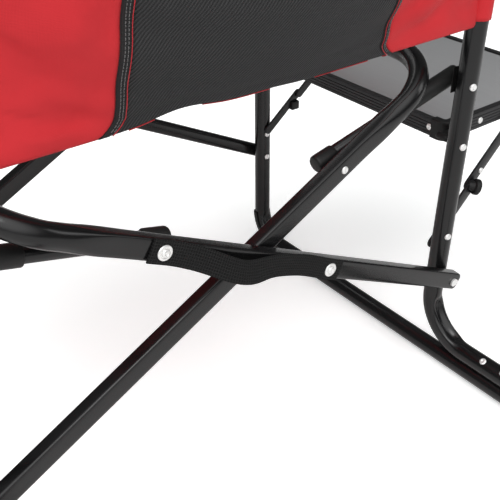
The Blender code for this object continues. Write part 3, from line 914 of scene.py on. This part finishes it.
def tidy_hem(points):
    """Straighten the kinked bottom rows, smooth them, and ease both hems to their lines."""
    for i in range(NX + 1):
        step = (points[index(i, 6)] - points[index(i, 2)]) / 4
        for j in (1, 0):
            points[index(i, j)] = points[index(i, j + 1)] - Vector((0, step.y * 0.6, step.z))
    for _ in range(4):
        for j in range(5):
            row = [points[index(i, j)].copy() for i in range(NX + 1)]
            for i in range(2, NX - 1):
                points[index(i, j)] = row[i - 1] * 0.25 + row[i] * 0.5 + row[i + 1] * 0.25
    for i in range(NX + 1):
        x, y, z = points[i]
        hem = (0.4927 + 0.0062 * math.exp(-((x + 0.088) / 0.036) ** 2)
               - 0.0020 * smooth01(x / 0.05) - 0.5 * (y + 0.212))
        rise = hem - z
        excess = points[index(i, NZ)].z - TOP_Z
        for j in range(NZ + 1):
            v = j / NZ
            points[index(i, j)].z += rise * (1 - v) ** 3 - excess * v ** 3


sheet = grid_obj("back_sheet", NX, NZ, rest_sheet, "red")
sheet_mesh = simulate(sheet)
SHEET = [v.co - OFFSET for v in sheet_mesh.vertices]
bpy.data.objects.remove(sheet, do_unlink=True)
tidy_hem(SHEET)


def on_sheet(x, z):
    """The sheet's point at rest coordinates x, z, and its normal towards the rear."""
    u = max(0, min(NX - 1e-6, (x + HALF_WIDTH) / (2 * HALF_WIDTH) * NX))
    v = max(0, min(NZ - 1e-6, (z - HEM_Z) / BACK_HEIGHT * NZ))
    i, j = int(u), int(v)
    a, b = u - i, v - j
    p00, p10 = SHEET[index(i, j)], SHEET[index(i + 1, j)]
    p01, p11 = SHEET[index(i, j + 1)], SHEET[index(i + 1, j + 1)]
    point = (p00 * (1 - a) + p10 * a) * (1 - b) + (p01 * (1 - a) + p11 * a) * b
    normal = (p10 - p00).cross(p01 - p00).normalized()
    if normal.y > 0:
        normal = -normal
    return point, normal


# ------------------------------------------------------------------ back sling: the pieces
SIDE_X = HALF_WIDTH - 0.002


def centre_edge(z):
    """Half width of the black centre: straight, flaring at the bottom and top corners."""
    bottom = max(0.0, (0.5130 - z) / 0.0190)
    top = max(0.0, (z - 0.873) / 0.027)
    return 0.1492 + 0.0140 * bottom ** 1.9 + 0.012 * top ** 1.8


def panel(name, span, nu, nv, kind, half_thick, crown=0.0, puff=None):
    """A closed panel with a rear and a front face on the sheet, its rim rolled.

    span(z) gives its two x edges, crown pads it towards the middle, and puff(x, z) adds
    to the rear face.
    """
    verts, uvs = [], []
    for rear in (True, False):
        for j in range(nv + 1):
            v = j / nv
            z = HEM_Z + BACK_HEIGHT * v
            x0, x1 = span(z)
            for i in range(nu + 1):
                u = i / nu
                x = x0 + (x1 - x0) * u
                point, normal = on_sheet(x, z)
                width = abs(x1 - x0)
                inside = min(u * width, (1 - u) * width, v * BACK_HEIGHT, (1 - v) * BACK_HEIGHT)
                edge = min(1.0, inside / 0.006)
                roll = 0.35 + 0.65 * math.sqrt(max(0.0, 1 - (1 - edge) ** 2))
                pad = crown * math.sqrt(max(0, math.sin(math.pi * u) * math.sin(math.pi * v)))
                if rear:
                    lift = (half_thick + pad + (puff(x, z) if puff else 0.0)) * roll
                else:
                    lift = -(half_thick + pad * 0.8) * roll
                verts.append(point + normal * lift)
                uvs.append((x, z))

    def at(i, j, face):
        return face * (nu + 1) * (nv + 1) + j * (nu + 1) + i

    faces = []
    for j in range(nv):
        for i in range(nu):
            faces.append([at(i, j, 0), at(i + 1, j, 0), at(i + 1, j + 1, 0), at(i, j + 1, 0)])
            faces.append([at(i, j, 1), at(i, j + 1, 1), at(i + 1, j + 1, 1), at(i + 1, j, 1)])
    for i in range(nu):
        faces.append([at(i, 0, 0), at(i, 0, 1), at(i + 1, 0, 1), at(i + 1, 0, 0)])
        faces.append([at(i, nv, 0), at(i + 1, nv, 0), at(i + 1, nv, 1), at(i, nv, 1)])
    for j in range(nv):
        faces.append([at(0, j, 0), at(0, j + 1, 0), at(0, j + 1, 1), at(0, j, 1)])
        faces.append([at(nu, j, 0), at(nu, j, 1), at(nu, j + 1, 1), at(nu, j + 1, 0)])
    obj = mesh_obj(name, verts, faces, kind, uvs)
    face_out(obj)
    soften(obj, 70)
    return obj


def soft_back(obj, slot, *replaced):
    """Put a back piece on the root body, hiding the parts it replaces, and give it its own mesh."""
    place(obj, slot, "root", *replaced)
    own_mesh(obj)


def side_folds(x, z):
    """Soft horizontal folds in the red side panels, fading out at their edges."""
    inside = (smooth01((abs(x) - 0.158) / 0.03) * smooth01((0.306 - abs(x)) / 0.03)
              * smooth01((z - HEM_Z) / 0.020))
    dips = max(0.0, wobble(x * 7 + 2.0, 9.3, z * 19 - x * 5)) ** 1.5
    return inside * (0.0052 * wobble(x * 9, 3.1, z * 30)
                     + 0.0085 * wobble(x * 5 + 7, 1.7, z * 15 + x * 6)
                     + 0.0042 * wobble(x * 22, 4.4, z * 40 + x * 20) - 0.0095 * dips)


def binding(side, sign):
    """The black band over one edge of the centre, with a red line and two rows of stitches."""
    def span(z):
        return sorted((sign * (centre_edge(z) + 0.0015), sign * (centre_edge(z) - 0.0086)))

    soft_back(panel("back_binding_" + side, span, 10, 150, "bind", 0.0042, crown=0.0006), "web")
    points = []
    for j in range(161):
        z = HEM_Z + 0.002 + (TOP_Z - HEM_Z - 0.004) * j / 160
        point, normal = on_sheet(sign * (centre_edge(z) - 0.0070), z)
        points.append(point + normal * 0.0048)
    soft_back(cord("back_red_line_" + side, points, 0.00042, "piping"), "red")
    length, pitch = 0.0024, 0.0034
    stitches = []
    for inset, lift in ((0.0016, 0.0044), (0.0041, 0.0050)):
        z = HEM_Z + 0.006
        while z < TOP_Z - 0.008:
            a, normal_a = on_sheet(sign * (centre_edge(z) - inset), z)
            b, normal_b = on_sheet(sign * (centre_edge(z + length) - inset), z + length)
            points = [a + normal_a * (lift - 0.0004),
                      a.lerp(b, 0.5) + normal_a * (lift + 0.0002),
                      b + normal_b * (lift - 0.0004)]
            stitches.append(cord("st", points, 0.00032, "thread", 5))
            z += pitch
    soft_back(joined("back_stitching_" + side, stitches, "thread"), "web")


def hem_piping(name, z, rise, x0, x1):
    points = []
    for j in range(61):
        point, normal = on_sheet(x0 + (x1 - x0) * j / 60, z)
        points.append(point + normal * 0.0012 + Vector((0, 0, rise)))
    soft_back(cord(name, points, 0.00055, "piping"), "red")


def post_sleeve(side, sign, body):
    """The cloth tube round one post, open at both ends."""
    n, rows = 26, 90
    verts, uvs, faces = [], [], []
    for j in range(rows + 1):
        z = HEM_Z + BACK_HEIGHT * j / rows
        centre = Vector((sign * HALF_WIDTH, post_y(z, side), z))
        for outer in (True, False):
            for i in range(n):
                a = 2 * math.pi * i / n
                x, y = math.cos(a), math.sin(a)
                if outer:
                    radius = TUBE_R + 0.0022 + 0.0006 * wobble(x * 2, y * 2, z * 26)
                else:
                    radius = TUBE_R + 0.0004
                verts.append(centre + Vector((x, y, 0)) * radius)
                uvs.append((a * TUBE_R, z))
    for j in range(rows):
        here, above = j * 2 * n, (j + 1) * 2 * n
        for i in range(n):
            after = (i + 1) % n
            faces.append([here + i, here + after, above + after, above + i])
            faces.append([here + n + i, above + n + i, above + n + after, here + n + after])
    top = rows * 2 * n
    for i in range(n):
        after = (i + 1) % n
        faces.append([i, n + i, n + after, after])
        faces.append([top + i, top + after, top + n + after, top + n + i])
    place(mesh_obj("back_sleeve_" + side, verts, faces, "red", uvs), "red", body)


soft_back(panel("back_side_left", lambda z: (-SIDE_X, -centre_edge(z) - 0.001), 60, 120, "red",
                0.0024, puff=side_folds), "red")
soft_back(panel("back_side_right", lambda z: (centre_edge(z) + 0.001, SIDE_X), 60, 120, "red",
                0.0024, puff=side_folds), "red", "back_sling")
soft_back(panel("back_centre", lambda z: (-centre_edge(z) + 0.0065, centre_edge(z) - 0.0065),
                120, 150, "mesh", 0.0030, crown=0.0035,
                puff=lambda x, z: 0.0010 * wobble(x * 12, 5.0, z * 12)), "web")
for side, sign, _ in SIDES[::-1]:
    binding(side, sign)
# red piping shows in stretches along both hems: name, z, rise, (x0, x1) of each stretch
for end, z, rise, stretches in (
        ("bottom", HEM_Z, -0.0003, ((-0.137, -0.113), (-0.066, 0.006), (0.060, 0.130))),
        ("top", TOP_Z, 0.0003, ((-0.135, -0.02), (0.03, 0.135)))):
    for k, (x0, x1) in enumerate(stretches):
        hem_piping(f"back_piping_{end}_{k}", z, rise, x0, x1)
for side, sign, body in SIDES[::-1]:
    post_sleeve(side, sign, body)

# ------------------------------------------------------------------ seat sling
SEAT_Y, SEAT_LENGTH = -0.108, 0.250    # rear edge, and length forwards
SEAT_GAP = 0.0016                      # from the rails to the cloth
PAD_X, PAD_Y, PAD_WIDTH, PAD_LENGTH = -0.165, -0.100, 0.33, 0.234


def sag(v):
    """Depth of the sag across the middle, at the fraction v from rear to front."""
    return 0.006 * smooth01(v / 0.12) * smooth01((1 - v) / 0.10) + 0.003


def seat_cloth(u, v):
    """Under and round the left rail, across the sag, round the right rail and under."""
    y = SEAT_Y + SEAT_LENGTH * v
    radius = TUBE_R + SEAT_GAP
    wrap = radius * math.radians(200)
    span = RAIL_B - RAIL_A
    s = u * (span + 2 * wrap)
    rail_z = height_b(RAIL_B, y)
    if wrap <= s <= wrap + span:
        t = (s - wrap) / span
        x = RAIL_A + span * t
        arch = math.sin(math.pi * t)
        z = rail_z + radius - sag(v) * arch + 0.0012 * wobble(x * 8, y * 8, 2.0) * arch
        return Vector((x, y, z)), (x, y)
    if s < wrap:
        rail_x, angle = RAIL_A, math.radians(290) - s / radius
    else:
        rail_x, angle = RAIL_B, math.radians(90) - (s - wrap - span) / radius
    x = rail_x + radius * math.cos(angle)
    return Vector((x, y, rail_z + radius * math.sin(angle))), (s, y)


def seat_pad(u, v):
    """The raised black pad, its edges rolled down to the cloth."""
    x = PAD_X + PAD_WIDTH * u
    y = PAD_Y + PAD_LENGTH * v
    t = (x - RAIL_A) / (RAIL_B - RAIL_A)
    depth = sag((y - SEAT_Y) / SEAT_LENGTH) * math.sin(math.pi * t)
    z = height_b(RAIL_B, y) + TUBE_R + SEAT_GAP - depth
    inside = min(u * PAD_WIDTH, (1 - u) * PAD_WIDTH, v * PAD_LENGTH, (1 - v) * PAD_LENGTH)
    edge = min(1.0, inside / 0.012)
    rise = 0.0065 * math.sqrt(max(0, 1 - (1 - edge) ** 2))
    return Vector((x, y, z + 0.0012 + rise)), (x, y)


for name, nu, nv, fn, kind, thickness, slot, replaced in (
        ("seat_cloth", 150, 60, seat_cloth, "red", 0.0026, "red", ["seat_sling"]),
        ("seat_pad", 100, 70, seat_pad, "mesh", 0.0022, "web", [])):
    obj = grid_obj(name, nu, nv, fn, kind)
    thicken(obj, thickness)
    if replaced:
        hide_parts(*replaced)
    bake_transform(obj)

# ------------------------------------------------------------------ carry strap
STRAP_X0, STRAP_X1 = -0.1400, 0.1000
STRAP_RIVETS = (-0.1259, 0.0848)       # x of the two rivets
STRAP_Y = REAR_A - CROSS_HALF_THICK - 0.0006
STRAP_WIDTH, STRAP_THICK, STRAP_CROWN = 0.0252, 0.0018, 0.0006


def carry_strap():
    """Webbing on frame A's rear tube, bowed outwards and sagging between its rivets."""
    points, normals = [], []
    first, last = STRAP_RIVETS
    for j in range(81):
        x = STRAP_X0 + (STRAP_X1 - STRAP_X0) * j / 80
        t = (x - first) / (last - first)
        bow = (math.exp(-((t - 0.39) / 0.185) ** 2) * smooth01(t / 0.12)
               * smooth01((1 - t) / 0.12))
        lift = 0.0022 * math.exp(-((t - 0.83) / 0.12) ** 2)
        points.append(Vector((x, STRAP_Y - 0.0125 * bow,
                              height_a(x, REAR_A) - 0.0088 * bow + lift)))
        normals.append(Vector((0.0, -1, 0.42 * bow)))
    steps = 14    # across the band
    verts, uvs = [], []
    for (point, along, distance), normal in zip(walk(points), normals):
        normal = (normal - along * normal.dot(along)).normalized()
        across = along.cross(normal)
        for k in range(steps + 1):
            t = -1 + 2 * k / steps
            verts.append(point + across * (t * STRAP_WIDTH / 2)
                         + normal * (STRAP_THICK + STRAP_CROWN * (1 - t * t)))
            uvs.append((distance, t * STRAP_WIDTH / 2))
        for k in range(steps + 1):
            t = 1 - 2 * k / steps
            verts.append(point + across * (t * STRAP_WIDTH / 2))
            uvs.append((distance, t * STRAP_WIDTH / 2))
    obj = mesh_obj("carry_webbing", verts, loft_faces(len(points), 2 * (steps + 1)), "web", uvs)
    face_out(obj)
    soften(obj, 50)
    place(obj, "web", "seat_frame_a", "carry_strap")


def washer_rivet(name, at, washer, r):
    """A rivet head of radius r on a washer, facing the rear."""
    profile = [(washer, 0.0), (washer, 0.0007), (washer * 0.93, 0.0014), (r * 1.25, 0.0016),
               (r * 1.08, 0.0010), (r, 0.0011), (r * 0.97, 0.0024), (r * 0.78, 0.0033),
               (r * 0.5, 0.0036), (r * 0.38, 0.0028), (r * 0.1, 0.0026)]
    place(lathe(name, profile, at, (0, -1, 0), "steel", 36), "steel", "seat_frame_a")


carry_strap()
for key, x in zip("ab", STRAP_RIVETS):
    washer_rivet("strap_rivet_" + key, (x, STRAP_Y - 0.0020, height_a(x, REAR_A)), 0.0082, 0.0046)


# ------------------------------------------------------------------ stage
def build_floor():
    """A pale floor, glowing a little to the camera so it stays near white under the chair."""
    half = 9.0
    turn = Matrix.Rotation(math.radians(-37.3), 4, "Z")
    mesh = bpy.data.meshes.new("floor")
    verts = [tuple(turn @ Vector((x, y, 0.0))) for x in (-half, half) for y in (-half, half)]
    mesh.from_pydata(verts, [], [[0, 2, 3, 1]])
    mesh.update()
    mesh.shade_smooth()
    material, shader = new_material("pale_floor")
    seen = shader.add("LightPath").outputs["Is Camera Ray"]
    shader.set(shader.surface, {"Base Color": (0.93, 0.925, 0.92, 1), "Roughness": 0.6,
                                "Emission Strength": shader.math("MULTIPLY", seen, 0.42),
                                "Emission Color": (0.97, 1.0, 1.0, 1)})
    mesh.materials.append(material)
    link(bpy.data.objects.new("floor", mesh))


def build_world():
    """A bright diffuser overhead, leaning to the rear left; the camera sees plain white."""
    world = bpy.data.worlds.new("studio")
    bpy.context.scene.world = world
    shader = Shader(world)
    facing = shader.add("VectorMath", {0: shader.add("TexCoord").outputs["Generated"],
                                       1: (-0.3636, -0.477, 0.80)}, operation="DOT_PRODUCT")
    ramp = shader.ramp(facing.outputs["Value"], dark=grey(0.060), light=grey(1))
    ramp.color_ramp.elements[0].position = 0.54
    ramp.color_ramp.elements[1].position = 0.86
    studio = shader.nodes["Background"]
    shader.set(studio, {"Color": ramp.outputs["Color"], "Strength": 2.05})
    white = shader.add("Background", {"Color": (1, 1, 1, 1), "Strength": 1.0})
    mix = shader.add("MixShader", {0: shader.add("LightPath").outputs["Is Camera Ray"],
                                   1: studio.outputs[0], 2: white.outputs[0]})
    shader.set(shader.nodes["World Output"], {"Surface": mix.outputs[0]})


def area_light(name, location, target, size, power):
    light = bpy.data.lights.new(name, "AREA")
    light.shape = "RECTANGLE"
    light.size, light.size_y = size
    light.energy = power
    obj = link(bpy.data.objects.new(name, light))
    obj.location = Vector(location) + OFFSET
    towards = Vector(target) - Vector(location)
    obj.rotation_euler = towards.to_track_quat("-Z", "Y").to_euler()


def build_camera():
    """From the rear left, above the arms, looking down at the chair."""
    camera = bpy.data.cameras.new("camera")
    camera.sensor_width = 36
    camera.lens = 58.345272
    camera.clip_start = 0.05
    obj = link(bpy.data.objects.new("camera", camera))
    heading = math.radians(37.319)    # from +Y towards +X
    pitch = math.radians(33.08)       # below the horizon
    roll = math.radians(-0.532)
    ahead = Vector((math.sin(heading), math.cos(heading), 0))
    right = Vector((math.cos(heading), -math.sin(heading), 0))
    up = Vector((0, 0, 1))
    view = ahead * math.cos(pitch) - up * math.sin(pitch)
    view_up = ahead * math.sin(pitch) + up * math.cos(pitch)
    turn = Matrix((right, view_up, -view)).transposed().to_4x4()
    obj.matrix_world = (Matrix.Translation(Vector((-0.4403, -0.7650, 0.7761)) + OFFSET) @ turn
                        @ Matrix.Rotation(roll, 4, "Z"))
    bpy.context.scene.camera = obj


build_floor()
build_world()
area_light("key", location=(-1.2, -1.0, 2.6), target=(0, 0, 0.3), size=(1.2, 0.9), power=18)
area_light("fill", location=(1.8, -1.4, 1.5), target=(0.1, 0, 0.3), size=(0.5, 1.2), power=5)
area_light("rim", location=(0.2, 1.6, 2.6), target=(0, 0, 0.3), size=(1.6, 0.25), power=3)
build_camera()
bpy.context.scene.view_settings.view_transform = "Standard"
bpy.context.view_layer.update()
